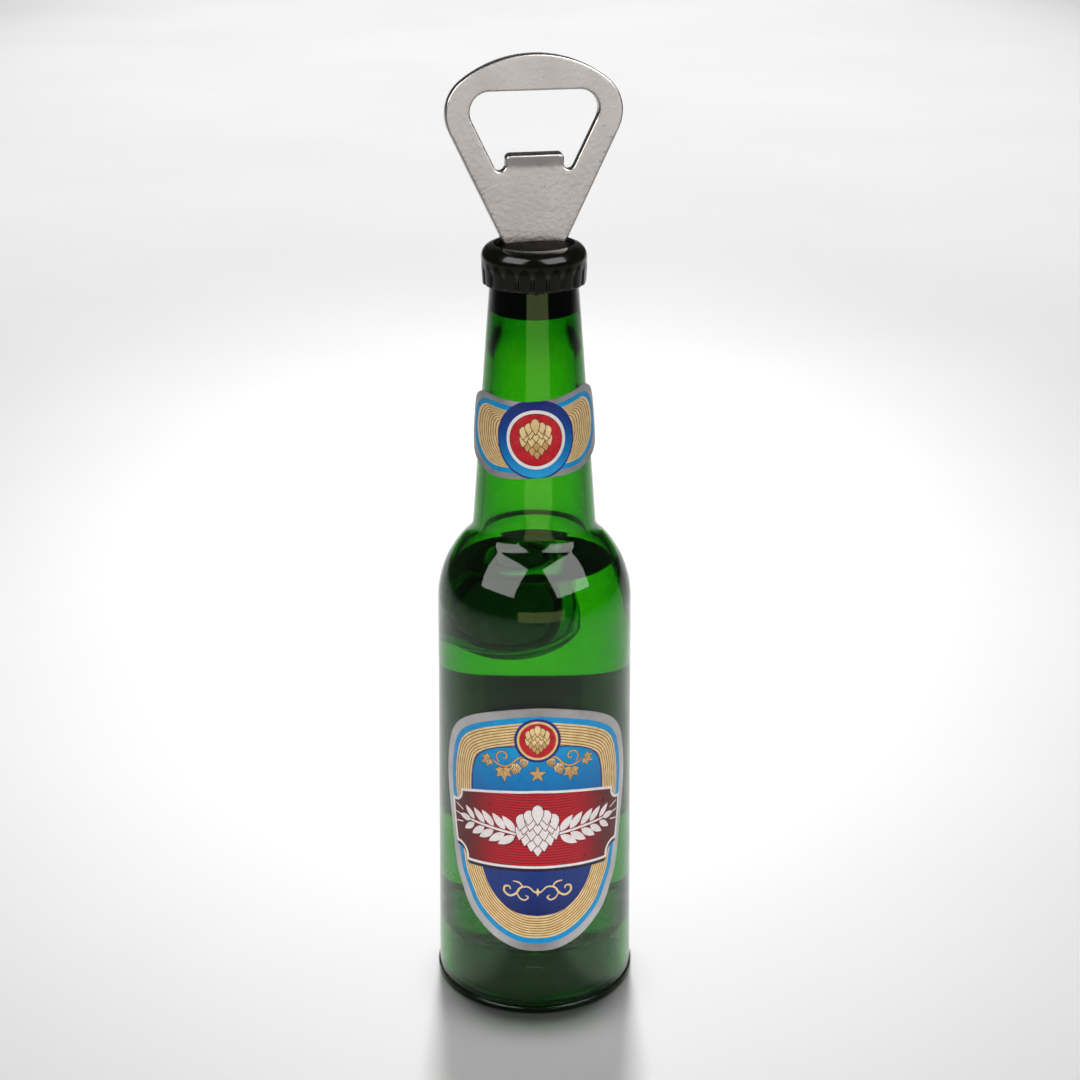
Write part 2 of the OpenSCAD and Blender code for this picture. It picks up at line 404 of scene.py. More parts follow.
def clear_look(name, ior, shadow_tint):
    """A clear material that lamps shine through, as they do through real clear plastic."""
    look = Look(name, {"Base Color": (1, 1, 1, 1), "Transmission Weight": 1.0, "IOR": ior})
    in_shadow = look.node("LightPath", out="Is Shadow Ray")
    through = look.node("BsdfTransparent", {"Color": (*shadow_tint, 1)}, "BSDF")
    values = {0: in_shadow, 1: look.shader.outputs["BSDF"], 2: through}
    look.fill({"Surface": look.node("MixShader", values, "Shader")}, look.output)
    return look


def green_plastic(name, density, smooth=0.0, rough=0.02):
    """Clear green plastic: colour from absorption in the wall, faint flow marks on its skin."""
    look = clear_look(name, 1.49, (0.7, 0.85, 0.6))
    marks = look.noise(260, 3, 0.55, (1, 1, 0.35))
    look.fill({"Roughness": look.spread(marks, smooth, rough)})
    look.bump(look.noise(55, 2, 0.4, (1, 1, 0.2)), 0.035, 0.0006)
    values = {"Color": (0.5, 0.847, 0.0, 1), "Density": density}
    look.fill({"Volume": look.node("VolumeAbsorption", values, "Volume")}, look.output)
    return look.material


def clear_liquid():
    """Clear liquid with very faint streaks of different density."""
    look = clear_look("clear_liquid", 1.333, (1, 1, 1))
    streaks = look.noise(90, 2, 0.4, (1, 1, 0.3))
    look.fill({"Roughness": look.spread(streaks, 0.0, 0.004)})
    look.bump(streaks, 0.02, 0.0004)
    return look.material


def mottled(name, dark, light, rough, mottle, relief, depth, values=None, top=0.7):
    """An opaque material: one mottle sets its colour and roughness, over a fine relief.

    mottle and relief are noise settings, depth is the bump's strength and distance, values are
    further shader values, and top is the noise value that has the light colour.
    """
    look = Look(name, values)
    pattern = look.noise(*mottle)
    look.fill({"Base Color": look.ramp(pattern, (0.3, srgb(*dark)), (top, srgb(*light))),
               "Roughness": look.spread(pattern, *rough)})
    look.bump(look.noise(*relief), *depth)
    return look.material


def black_plastic(name, gloss, smooth, rough):
    """Black moulding with faint haze and dust marks."""
    return mottled(name, (7, 9, 4), (15, 17, 10), (smooth, rough), (420, 5, 0.6), (1600, 2, 0.5),
                   (0.05, 0.0002), {"Specular IOR Level": gloss, "IOR": 1.45}, 0.75)


def stamped_steel():
    """Tumbled sheet steel: warm grey, fine dents and a few dark pits."""
    look = Look("stamped_steel", {"Metallic": 1.0})
    cloud = look.noise(190, 4, 0.55)
    tone = look.ramp(cloud, (0.3, (0.47, 0.435, 0.41)), (0.7, (0.54, 0.505, 0.48)))
    pits = look.spread(look.noise(1700, 3, 0.6), 0.0, 1.0, 0.24, 0.34)
    look.fill({"Base Color": look.blend(pits, (0.27, 0.245, 0.225, 1), tone),
               "Roughness": look.spread(cloud, 0.25, 0.29)})
    scratches = look.noise(900, 3, 0.6, (1, 1, 0.06))
    dents = look.noise(1300, 3, 0.6)
    look.bump(look.maths("ADD", scratches, dents), 0.2, 0.0002)
    return look.material


# The sticker's thin glossy film, and the print's fine mottle and relief under it.
FILM = {"Specular IOR Level": 0.3, "Coat Weight": 0.12, "Coat Roughness": 0.12}
PRINT_MOTTLE = (900, 4, 0.6)
PRINT_RELIEF = (2400, 2, 0.5)
PRINT_DEPTH = (0.05, 0.0001)


def ink(name, dark, light, metallic=0.0, roughness=0.32):
    """One printed colour."""
    return mottled(name, dark, light, (roughness - 0.05, roughness + 0.07), PRINT_MOTTLE,
                   PRINT_RELIEF, PRINT_DEPTH, {"Metallic": metallic, **FILM})


def shaded_ink(name, stops, lines=None):
    """A printed blend up the label or, with lines, outwards from its middle, in centimetres."""
    look = Look(name, FILM)
    where = look.node("UVMap", out="UV", uv_map="print")
    parts = look.node("SeparateXYZ", {"Vector": where})
    u, v = parts.outputs["X"], parts.outputs["Y"]
    low, high = stops[0][0], stops[-1][0]
    unit = look.spread(look.maths("ABSOLUTE", u) if lines else v, 0.0, 1.0, low, high)
    colour = look.ramp(unit, *[((p - low) / (high - low), srgb(*c)) for p, c in stops])
    if lines:
        colour = engraved(look, u, v, colour, **lines)
    mottle = look.noise(*PRINT_MOTTLE)
    tone = look.ramp(mottle, (0.3, (0.86, 0.86, 0.86)), (0.7, (1, 1, 1)))
    look.fill({"Base Color": look.blend(1.0, colour, tone, "MULTIPLY"),
               "Roughness": look.spread(mottle, 0.27, 0.39)})
    look.bump(look.noise(*PRINT_RELIEF), *PRINT_DEPTH)
    return look.material


def engraved(look, u, v, colour, pitch, bow, reach, tone):
    """Fine bowed lines in a darker tone that fade towards the sides."""
    maths = look.maths
    bowed = maths("ADD", v, maths("MULTIPLY", maths("MULTIPLY", u, u), bow))
    wave = maths("SINE", maths("MULTIPLY", bowed, 2 * PI / pitch))
    line = maths("MULTIPLY", maths("SUBTRACT", wave, 0.35), 2.2, clamp=True)
    fade = maths("SUBTRACT", 1.0, maths("DIVIDE", maths("ABSOLUTE", u), reach), clamp=True)
    amount = maths("MULTIPLY", line, maths("MULTIPLY", fade, 2.0, clamp=True), clamp=True)
    return look.blend(amount, colour, (*srgb(*tone), 1))


GREEN = green_plastic("green_plastic", 2500.0)
GREEN_BASE = green_plastic("green_base_plastic", 2600.0)
GREEN_MATT = green_plastic("green_matt_plastic", 2600.0, 0.6, 0.75)
LIQUID = clear_liquid()
BLACK = black_plastic("cap_plastic", 0.5, 0.1, 0.2)
BLACK_DULL = black_plastic("cap_plastic_dull", 0.02, 0.45, 0.6)
STEEL = stamped_steel()
# Ground ferrite: dark grey and grainy, with grinding marks.
FERRITE = mottled("ferrite", (40, 40, 43), (84, 84, 88), (0.45, 0.7), (900, 6, 0.7),
                  (700, 3, 0.6, (0.05, 1, 1)), (0.35, 0.0002), {"Metallic": 0.25}, 0.75)
# Set glue: a cloudy yellowish film.
ADHESIVE = mottled("adhesive", (178, 166, 120), (214, 205, 168), (0.2, 0.45), (500, 4, 0.6),
                   (500, 4, 0.6), (0.3, 0.0003))
# Silver foil: brushed, slightly wavy metal.
SILVER = mottled("silver_foil", (168, 165, 165), (205, 202, 202), (0.3, 0.44), (160, 4, 0.6),
                 (1500, 3, 0.6, (1, 1, 0.15)), (0.12, 0.0001), {"Metallic": 0.85})
INKS = [SILVER] + [ink(*look) for look in (
    ("light_blue_ink", (2, 134, 192), (10, 152, 212)),
    ("gold_ink", (222, 188, 128), (242, 214, 160), 0.15, 0.38),
    ("gold_line_ink", (122, 82, 42), (150, 106, 62), 0.1, 0.4),
    ("navy_ink", (26, 38, 104), (36, 52, 128)),
    ("shadow_ink", (22, 20, 44), (34, 30, 58)),
    ("cream_ink", (226, 216, 214), (240, 232, 230)),
    ("red_ink", (172, 14, 30), (200, 34, 46)),
    ("dark_red_ink", (84, 18, 22), (110, 26, 30)),
    ("brown_ink", (74, 40, 22), (96, 56, 32)),
    ("deep_gold_ink", (190, 148, 92), (216, 176, 118), 0.15, 0.38),
    ("label_backing", (34, 36, 34), (48, 50, 46), 0.0, 0.6),
)] + [
    shaded_ink(
        "arch_blue_ink",
        [(3.9, (8, 104, 172)), (4.3, (8, 126, 190)), (4.7, (14, 148, 206))]),
    shaded_ink(
        "field_navy_ink",
        [(1.85, (18, 34, 96)), (2.2, (22, 48, 120)), (2.6, (26, 56, 124))]),
    shaded_ink(
        "banner_red_ink",
        [(0, (196, 32, 44)), (0.6, (188, 26, 38)), (0.95, (132, 22, 28)), (1.2, (92, 24, 26))],
        {"pitch": 0.048, "bow": 0.012, "reach": 1.0, "tone": (112, 16, 26)}),
    shaded_ink(
        "ring_blue_ink",
        [(-0.6, (40, 165, 220)), (-0.35, (10, 130, 200)), (0.1, (10, 70, 150)),
         (0.55, (30, 34, 110))]),
]
SLOT = {material.name.removesuffix("_ink"): i for i, material in enumerate(INKS)}


# ---- bottle
def fillet_z(depth):
    """The height of the centre of the fillet between shoulder and neck."""
    r = NECK_FILLET_R + depth
    reach = SHOULDER_CURVE_R + NECK_FILLET_R
    b = neck_radius(0) + (r - depth) / cos(NECK_LEAN) - SHOULDER_MID_R
    h = b * NECK_SLOPE + SHOULDER_Z
    a = 1 + NECK_SLOPE ** 2
    return (h + sqrt(h * h - a * (b * b + SHOULDER_Z ** 2 - reach * reach))) / a


def shoulder_run(depth):
    """From the top of the barrel over the shoulder to the foot of the neck."""
    z = fillet_z(depth)
    x = neck_radius(z) + NECK_FILLET_R / cos(NECK_LEAN)
    meet = atan2(z - SHOULDER_Z, x - SHOULDER_MID_R)
    return (arc(SHOULDER_MID_R, SHOULDER_Z, SHOULDER_CURVE_R - depth, 0, meet, 28)
            + arc(x, z, NECK_FILLET_R + depth, meet + PI, PI + NECK_LEAN, 14)[1:])


def bottle_profile():
    """The bottle's closed section, from its foot up outside and down inside."""
    outer, inner = shoulder_run(0), list(reversed(shoulder_run(WALL)))
    bore_foot = NECK_TOP_Z - BORE_DEPTH
    flare = (neck_radius(bore_foot - 3) - WALL, bore_foot - 3)
    bore = SHANK_R - CONTACT
    mouth = [(NECK_TOP_R, NECK_TOP_Z), (bore, NECK_TOP_Z)]
    return [
        *straight((FOOT_R - WALL, LIP_H), (FOOT_R - 0.15, LIP_H), 2), (FOOT_R - 0.15, LIP_H),
        *straight((FOOT_R, LIP_H + 0.15), outer[0], 24), *outer[:-1],
        *straight(outer[-1], mouth[0], 20), *mouth,
        *straight((bore, NECK_TOP_Z - 0.3), (bore, bore_foot), 6), (bore, bore_foot),
        *straight(flare, inner[0], 16), *inner,
        *straight(inner[-1], (FOOT_R - WALL, LIP_H), 24)[1:],
    ]


def ring_y(y, radius_at, steps):
    """A ring of points about the magnet's axis, in metres."""
    turns = [2 * PI * j / steps for j in range(steps)]
    return [(radius_at(a) * cos(a) * MM, y * MM, (MAGNET_Z + radius_at(a) * sin(a)) * MM)
            for a in turns]


def disc_y(radius, low_y, high_y, edge=0.0):
    """A closed cylinder along Y at the magnet's height, with broken edges."""
    rings = [(radius, low_y + edge), (radius, high_y - edge)]
    if edge:
        rings = [(radius - edge, low_y)] + rings + [(radius - edge, high_y)]
    return stacked([ring_y(y, lambda a, r=r: r, 128) for r, y in rings])


def make_bottle():
    bottle = add_piece("bottle_shell", *revolved(bottle_profile(), COLUMNS), [GREEN])
    back_y = LIP_R - 0.25
    cut_or_join(bottle, "UNION", *disc_y(BOSS_R, POCKET_Y - WALL, back_y, BOSS_EDGE), 30)
    cut_or_join(bottle, "DIFFERENCE", *disc_y(POCKET_R, POCKET_Y, back_y + 1), 30)
    return bottle


def make_base():
    top = SPIGOT_TOP_Z
    gap = 0.02
    edge = 0.3
    outer_low = barrel_radius(LIP_H) - WALL - gap
    outer_top = barrel_radius(top) - WALL - gap
    profile = [
        (0, RECESS_DEPTH), (1.2, RECESS_DEPTH), (1.4, RECESS_DEPTH + 0.15),
        (11.6, RECESS_DEPTH + 0.05), (12.0, RECESS_DEPTH - 0.05), (12.4, 0.0),
        *straight((12.6, 0.0), (LIP_R - 0.35, 0.0), 4),
        *arc(LIP_R - 0.35, 0.35, 0.35, -PI / 2, 0, 6),
        *arc(LIP_R - edge, LIP_H - 0.32, edge, 0, PI / 2, 6), (outer_low, LIP_H - 0.01),
        *straight((outer_low, LIP_H + 0.1), (outer_top, top - edge), 8),
        *arc(outer_top - edge, top - edge, edge, 0, PI / 2, 6),
        *arc(outer_top - WALL + edge, top - edge, edge, PI / 2, PI, 6),
        *straight((outer_top - WALL, top - 0.4), (outer_low - WALL, LIP_H + 1.2), 8),
        *arc(outer_low - WALL - 0.4, LIP_H + 1.2, 0.4, 0, -PI / 2, 6),
        (8.0, BASE_FLOOR_Z), (0, BASE_FLOOR_Z),
    ]
    vertices, faces = revolved(profile, COLUMNS)
    recess = [int(all(vertices[i][2] < 0.7 * MM and hypot(*vertices[i][:2]) < 11.7 * MM
                      for i in face)) for face in faces]
    return add_piece("base_closure", vertices, faces, [GREEN_BASE, GREEN_MATT], recess)


def make_liquid():
    """Clear liquid up to the neck's foot; it wets the walls and climbs them a little."""
    top = SPIGOT_TOP_Z
    low_r, ring_r, wall_r = (barrel_radius(z) - walls * WALL + CONTACT
                             for z, walls in ((LIP_H, 2), (top, 2), (top, 1)))
    inner = [(r, z) for r, z in shoulder_run(WALL - CONTACT) if z < LIQUID_Z + 0.45]
    rim_r, rim_z = inner[-1]
    meniscus = [(rim_r - 2.4 * i / 12, LIQUID_Z + (rim_z - LIQUID_Z) * exp(-0.42 * i))
                for i in range(1, 13)]
    profile = [
        *[(r, BASE_FLOOR_Z - CONTACT) for r in (0, 8, low_r - 0.4)],
        *straight((low_r, BASE_FLOOR_Z + 0.4), (ring_r, top), 8),
        (ring_r, top + CONTACT), (wall_r, top + CONTACT),
        *straight((barrel_radius(top + 0.2) - WALL + CONTACT, top + 0.2), inner[0], 24),
        *inner, *meniscus, (5.0, LIQUID_Z), (2.5, LIQUID_Z), (0, LIQUID_Z),
    ]
    liquid = add_piece("liquid_fill", *revolved(profile, COLUMNS), [LIQUID])
    cut_or_join(liquid, "DIFFERENCE",
                *disc_y(BOSS_R - CONTACT, POCKET_Y - WALL + CONTACT, LIP_R, BOSS_EDGE), 30)
    return liquid


# ---- cap
def cap_profile():
    """The cap's closed section: dome, skirt, bore, shank and the shank's hollow."""
    dome = [(6.0 * i / 10, CAP_TOP_Z - 0.42 * (i / 10) ** 2) for i in range(11)]
    rim = arc(CAP_R - 1.95, CAP_TOP_Z - 2.4, 1.95, radians(84), 0, 14)
    skirt = straight((CAP_R, CAP_TOP_Z - 2.5), (SKIRT_R, SKIRT_Z + 0.12), 22)
    bore_r = neck_radius(SKIRT_Z) + 0.06
    hem = [(SKIRT_R - 0.02, SKIRT_Z + 0.06), (SKIRT_R - 0.12, SKIRT_Z), (bore_r + 0.1, SKIRT_Z),
           (bore_r, SKIRT_Z + 0.15)]
    inside = [(bore_r, NECK_TOP_Z + 0.02), (SHANK_R, NECK_TOP_Z + 0.02)]
    shank = straight((SHANK_R, NECK_TOP_Z - 0.1), (SHANK_R, SHANK_Z + 0.15), 8)
    foot = [(SHANK_R - 0.02, SHANK_Z + 0.06), (SHANK_R - 0.15, SHANK_Z),
            (SHANK_BORE_R + 0.12, SHANK_Z), (SHANK_BORE_R, SHANK_Z + 0.12)]
    hollow = [(SHANK_BORE_R, TANG_Z), (0, TANG_Z)]
    return dome + rim[1:] + skirt + hem + inside + shank + foot + hollow


def smooth_step(x):
    x = min(max(x, 0.0), 1.0)
    return x * x * (3 - 2 * x)


def fluted(r, z, angle):
    """Narrow grooves between the teeth; they run out in a round end under the rim."""
    if r < SKIRT_R - 0.2 or z > CAP_TOP_Z - 1.0:
        return r
    place = (angle * FLUTES / (2 * PI)) % 1.0
    off_centre = abs(place - 0.5) * 2
    run_out = smooth_step((FLUTE_TOP_Z - z - 1.1 * off_centre ** 2) / 1.1)
    groove = 1 - smooth_step((1 - off_centre - 0.10) / 0.26)
    belly = 0.08 * (1 - off_centre ** 2)
    return r + run_out * (belly - 0.3 * groove)


def make_cap():
    vertices, faces = revolved(cap_profile()[::-1], FLUTES * 20, fluted)
    dull = []
    for face in faces:
        r = sum(hypot(*vertices[i][:2]) for i in face) / len(face) / MM
        z = sum(vertices[i][2] for i in face) / len(face) / MM
        dome = r < 5.8 and z > CAP_TOP_Z - 0.5
        shank = r < SHANK_R + 0.1 and z < NECK_TOP_Z
        dull.append(int(dome or shank))
    cap = add_piece("crown_moulding", vertices, faces, [BLACK, BLACK_DULL], dull, 50)
    half_w, half_t = 4.95, PLATE_T / 2 + 0.05
    slot = [[(x * half_w * MM, y * half_t * MM, z * MM)
             for x, y in ((-1, -1), (-1, 1), (1, 1), (1, -1))]
            for z in (CAP_TOP_Z - 0.9, CAP_TOP_Z + 2)]
    cut_or_join(cap, "DIFFERENCE", *stacked(slot), 50)
    return cap


# ---- plate
def plate_outline():
    """The plate with its hidden tang, from the front."""
    crown_z = TOTAL_H - CROWN_R
    corner_x = PLATE_HALF_W - CORNER_R
    corner_z = crown_z + sqrt((CROWN_R - CORNER_R) ** 2 - corner_x ** 2)
    turn = atan2(corner_z - crown_z, corner_x)
    start = polar(CORNER_R, -SIDE_LEAN, corner_x, corner_z)
    foot_w = start[0] - tan(SIDE_LEAN) * (start[1] - PLATE_FOOT_Z)
    side = straight((foot_w, PLATE_FOOT_Z), start, 24)
    tang = straight((TANG_HALF_W, TANG_Z), (TANG_HALF_W, PLATE_FOOT_Z - 0.6), 12)
    half = tang + side + arc(corner_x, corner_z, CORNER_R, -SIDE_LEAN, turn, 28)
    crown = arc(0, crown_z, CROWN_R, turn, PI - turn, 48)[1:-1]
    return half + crown + mirrored(half)


def mouth_outline():
    """The mouth with the lift tab left standing in it."""
    notch_r = (NOTCH_OUTER_X - TAB_HALF_W) / 2
    notch_x, notch_mid = TAB_HALF_W + notch_r, NOTCH_Z + notch_r
    tip = notch_mid + TAB_LEN
    tab_round = 0.75
    corner_x, corner_z = MOUTH_HALF_W - MOUTH_CORNER_R, MOUTH_TOP_Z - MOUTH_CORNER_R
    side_start = polar(notch_r, -SIDE_LEAN, notch_x, notch_mid)
    side_end = polar(MOUTH_CORNER_R, -SIDE_LEAN, corner_x, corner_z)
    half = (arc(TAB_HALF_W - tab_round, tip - tab_round, tab_round, PI / 2, 0, 8)
            + straight((TAB_HALF_W, tip - tab_round - 0.15), (TAB_HALF_W, notch_mid), 6)
            + arc(notch_x, notch_mid, notch_r, PI, 2 * PI - SIDE_LEAN, 16)
            + straight(side_start, side_end, 14)[1:]
            + arc(corner_x, corner_z, MOUTH_CORNER_R, -SIDE_LEAN, PI / 2, 18))
    return half + mirrored(half)


def bent(point):
    """Leans the lift tab towards the front about its root."""
    x, y, z = point
    root = NOTCH_Z + (NOTCH_OUTER_X - TAB_HALF_W) / 2 - 0.15
    if abs(x) > TAB_HALF_W + 0.01 or z < root or z > root + TAB_LEN + 1.5:
        return point
    lean = TAB_LEAN * smooth_step((z - root) / 0.35)
    back = PLATE_T / 2
    dy, dz = y - back, z - root
    return (x, back + dy * cos(lean) - dz * sin(lean),
            root + dz * cos(lean) + dy * sin(lean))


def make_plate():
    hole = circle(0, LOCK_HOLE_Z, LOCK_HOLE_R, 40)
    half_t, edge_r, steps = PLATE_T / 2, 0.3, 5
    loops = []
    for loop, inwards in ((plate_outline(), 1), (mouth_outline(), -1), (hole, -1)):
        rings = []
        for i in range(steps + 1):
            a = PI / 2 * i / steps
            rings.append((inset(loop, inwards * edge_r * (1 - sin(a))),
                          -half_t + edge_r * (1 - cos(a))))
        loops.append(rings + [(ring, -y) for ring, y in reversed(rings)])
    faces_of = [rings[0][0] for rings in loops]

    def inside(c):
        return within(c, faces_of[0]) & ~within(c, faces_of[1]) & ~within(c, faces_of[2])

    flat, triangles = flat_filled(faces_of, 0.55, inside)
    vertices = [(x, y, z) for y in (-half_t, half_t) for x, z in flat.tolist()]
    faces = both_sides(triangles, len(flat))
    for rings, flip in zip(loops, (False, True, True)):
        size, start = len(rings[0][0]), len(vertices)
        for ring, y in rings:
            vertices += [(x, y, z) for x, z in ring]
        for i in range(len(rings) - 1):
            for j in range(size):
                k = (j + 1) % size
                a, b = start + i * size + j, start + i * size + k
                quad = (a, a + size, b + size, b)
                faces.append(quad if flip else tuple(reversed(quad)))
    vertices = [tuple(v * MM for v in bent(p)) for p in vertices]
    plate = add_piece("stamped_plate", vertices, faces, [STEEL])
    work = bmesh.new()
    work.from_mesh(plate.data)
    bmesh.ops.remove_doubles(work, verts=work.verts, dist=1e-7)
    bmesh.ops.recalc_face_normals(work, faces=work.faces)
    work.to_mesh(plate.data)
    work.free()
    shade(plate, 40)
    return plate


# ---- magnet
def make_magnet():
    return add_piece("magnet_disc", *disc_y(MAGNET_R, LIP_R - MAGNET_T, LIP_R, 0.3), [FERRITE])


def make_glue():
    """The squeezed film of glue, with a lobed edge."""
    def lobed(shrink):
        return lambda a: (MAGNET_R - 0.95 - shrink + 0.1 * sin(5 * a + 0.6)
                          + 0.05 * sin(11 * a))

    layers = ((POCKET_Y, 0.1), (POCKET_Y + 0.08, 0.0), (LIP_R - MAGNET_T, 0.05))
    rings = [ring_y(y, lobed(shrink), 96) for y, shrink in layers]
    return add_piece("glue_film", *stacked(rings), [ADHESIVE])


# ---- label art
def counterclockwise(points):
    p = np.array(points)
    q = np.roll(p, -1, 0)
    doubled_area = (p[:, 0] * q[:, 1] - q[:, 0] * p[:, 1]).sum()
    return points if doubled_area > 0 else points[::-1]


def star(x, y, r, points=5):
    return [(x + (r if k % 2 == 0 else 0.4 * r) * sin(PI * k / points),
             y + (r if k % 2 == 0 else 0.4 * r) * cos(PI * k / points))
            for k in range(2 * points)]


def hop_scale(w, h):
    """One hop scale: a kite with its point down, centred on the origin."""
    right = [(0.0, -0.5), (0.2, -0.3), (0.42, -0.02), (0.45, 0.2), (0.28, 0.42), (0.0, 0.5)]
    return [(w * x, h * y) for x, y in right + mirrored(right[1:-1])]


def hop_cone(x, y, height, line=0.09, tilt=0.0, inks=("brown", "gold", "deep_gold")):
    """Rows of overlapping scales, painted from the tip upwards."""
    rows = [
        (-0.36, [0.0], 0.21, 0.28, 2),
        (-0.25, [-0.11, 0.11], 0.22, 0.31, 2),
        (-0.13, [-0.22, 0.22, 0.0], 0.23, 0.33, 2),
        (-0.01, [-0.31, 0.31, -0.11, 0.11], 0.24, 0.34, 1),
        (0.12, [-0.24, 0.24, 0.0], 0.25, 0.35, 1),
        (0.19, [-0.3, 0.3, -0.13, 0.13], 0.24, 0.34, 1),
        (0.29, [-0.16, 0.16], 0.22, 0.3, 1),
        (0.34, [0.0], 0.24, 0.4, 1),
    ]
    art = []
    for dy, places, w, h, tone in rows:
        for dx in places:
            shape = moved(hop_scale(w, h), dx, dy, turn=0.7 * dx)
            shape = moved(shape, x, y, tilt, height)
            art += [(inks[0], inset(shape, -line)), (inks[tone], shape)]
    return art


def hop_leaf(x, y, size, tilt):
    """A five-lobed leaf with a dark edge."""
    lobes = []
    for k, reach in enumerate((0.75, 0.95, 1.1, 0.95, 0.75)):
        a = PI / 2 + (k - 2) * 0.85
        lobes += [polar(reach, a), polar(0.55, a + 0.42)]
    lobes[-1:] = [(-0.25, -0.3), (0.0, -0.12), (0.25, -0.3)]
    shape = counterclockwise(moved(lobes, x, y, tilt, size))
    ribs = [stroke(moved([(0, -0.1), polar(0.45, a), polar(0.8, a)], x, y, tilt, size),
                   0.09, (1, 0.2), 3)
            for a in (PI / 2 - 0.85, PI / 2, PI / 2 + 0.85)]
    return ([("shadow", inset(shape, -0.07)), ("deep_gold", shape)]
            + [("gold_line", rib) for rib in ribs])


def flipped(art):
    """The same shapes mirrored about the label's middle."""
    return [(name, mirrored(shape)) for name, shape in art]


def grain(x, y, length, width, angle):
    shape = []
    for t in (i / 6 for i in range(7)):
        half = 0.5 * width * sin(PI * t ** 0.85) ** 0.8 if 0 < t < 1 else 0
        shape.append((t * length, half))
    shape += [(along, -off) for along, off in reversed(shape[1:-1])]
    return counterclockwise(moved(shape[::-1], x, y, angle))


def barley_ear(root, tip, lift, pairs=5):
    """Cream grains in separate pairs along a bowed stem, with awns at the tip."""
    root, tip = np.array(root), np.array(tip)
    path = [root + (tip - root) * t + np.array([0.0, lift]) * sin(PI * t)
            for t in np.linspace(0, 1, 40)]
    shapes = [stroke([tuple(path[k]) for k in (0, 10, 20, 30, 39)], 0.4, (0.8, 0.6))]
    for k in range(pairs):
        i = int(6 + 30 * k / (pairs - 1))
        here, ahead = path[i], path[i + 1]
        heading = atan2(ahead[1] - here[1], ahead[0] - here[0])
        size = 1 - 0.22 * (k / (pairs - 1)) ** 2
        for side in (1, -1):
            start = here + 0.34 * np.array([-sin(heading), cos(heading)]) * side
            shapes.append(grain(*start, 3.3 * size, 1.3 * size, heading + side * 0.72))
    x, y = path[-1]
    shapes.append(grain(x, y, 2.4, 1.1, heading))
    for side in (1, 0, -1):
        awn = [polar(d, heading + 0.3 * side, x, y + side * 0.5) for d in (1.8, 2.8, 3.6)]
        shapes.append(stroke(awn, 0.2, (1.0, 0.3), 3))
    return [("cream", shape) for shape in shapes]


FRONT_EDGE = [(0, -27.3), (3.2, -27), (6.4, -25.7), (9.2, -23.7), (11.6, -21.2),
              (13.2, -18.2), (14.4, -15.6), (15.1, -12.4), (15.8, -7.5), (16.6, -3),
              (16.9, 0), (16.8, 2.8), (16.4, 5.4), (15.6, 8), (14, 10.3),
              (11.6, 12.1), (8.6, 13.5), (5.2, 14.5), (2.6, 15), (0, 15.2)]
FRONT_LABEL_Z = 39.0


def bordered(outline, silver, blue, stripes, pitch):
    """Silver edge, blue line and a gold field with pinstripes that follow the edge."""
    art = [("silver_foil", outline), ("light_blue", inset(outline, silver)),
           ("gold", inset(outline, silver + blue))]
    for k in range(stripes):
        depth = silver + blue + 0.3 + pitch * k
        art += [("gold_line", inset(outline, depth)),
                ("gold", inset(outline, depth + 0.15))]
    return art


def banner_outline(grow=0.0):
    """The banner with hollow notches at its corners."""
    top = [(0, 41.4), (5.0, 41.05), (9.5, 40.3), (13.1, 39.3)]
    bottom = [(11.6, 27.9), (8.0, 28.2), (4.0, 28.45), (0, 28.5)]
    upper_notch = arc(14.9, 39.0, 1.75, radians(172), radians(278), 8)
    lower_notch = arc(13.9, 28.4, 1.95, radians(80), radians(190), 8)
    side = [(15.05, 35.6), (14.75, 33.2), (14.45, 31.0)]
    right = (spline(top, 4, closed=False) + upper_notch + side + lower_notch
             + spline(bottom, 4, closed=False))
    whole = counterclockwise(right + mirrored(right[1:-1]))
    return inset(whole, -grow) if grow else whole


def roundel(x, y, rings, cone):
    """Concentric discs from the outside in, with a hop cone on top."""
    art = [(name, circle(x, y, r, 72)) for name, r in rings]
    return art + hop_cone(x, y, *cone)


def vine_side():
    """The vine on the right of the star: stalk, spiral, leaves and two small hops."""
    stalk = [(1.9, 47.1), (2.9, 47.0), (3.9, 46.0), (5.0, 45.4), (6.2, 45.6), (7.1, 46.2)]
    spiral = [polar(1.25 - 0.11 * k, -0.9 + 0.62 * k, 5.3, 46.95) for k in range(11)]
    art = []
    for path, width in ((stalk, 0.3), (spiral, 0.26)):
        art += [("shadow", stroke(path, width + 0.13, (0.8, 0.5))),
                ("deep_gold", stroke(path, width, (0.7, 0.3)))]
    art += hop_leaf(5.35, 44.7, 1.75, radians(172))
    art += hop_leaf(7.75, 46.1, 1.4, radians(-120))
    art += hop_cone(3.4, 45.1, 1.9, 0.06, 0.35)
    art += hop_cone(2.1, 46.2, 1.6, 0.06, 0.15)
    return art


def scroll_side():
    """Half of a small gold scroll with a curl at each end."""
    wave = [(0.5, 24.2), (1.5, 25.1), (2.7, 24.9), (3.4, 23.9), (4.4, 23.4), (5.3, 24.0),
            (5.2, 24.9), (4.5, 25.0), (4.3, 24.5)]
    leaf = [(2.3, 25.0), (2.9, 25.8), (3.9, 26.0)]
    drop = [(3.3, 24.0), (2.8, 23.1), (2.0, 22.8), (1.5, 23.3), (1.9, 23.6)]
    return [("gold", stroke(path, width, (0.5, 0.5)))
            for path, width in ((wave, 0.34), (leaf, 0.26), (drop, 0.26))]


def fitted(art):
    """The drawing's own heights, fitted to the label's place on the barrel."""
    return [(name, [(u, 1.027 * v - 2.5) for u, v in shape]) for name, shape in art]


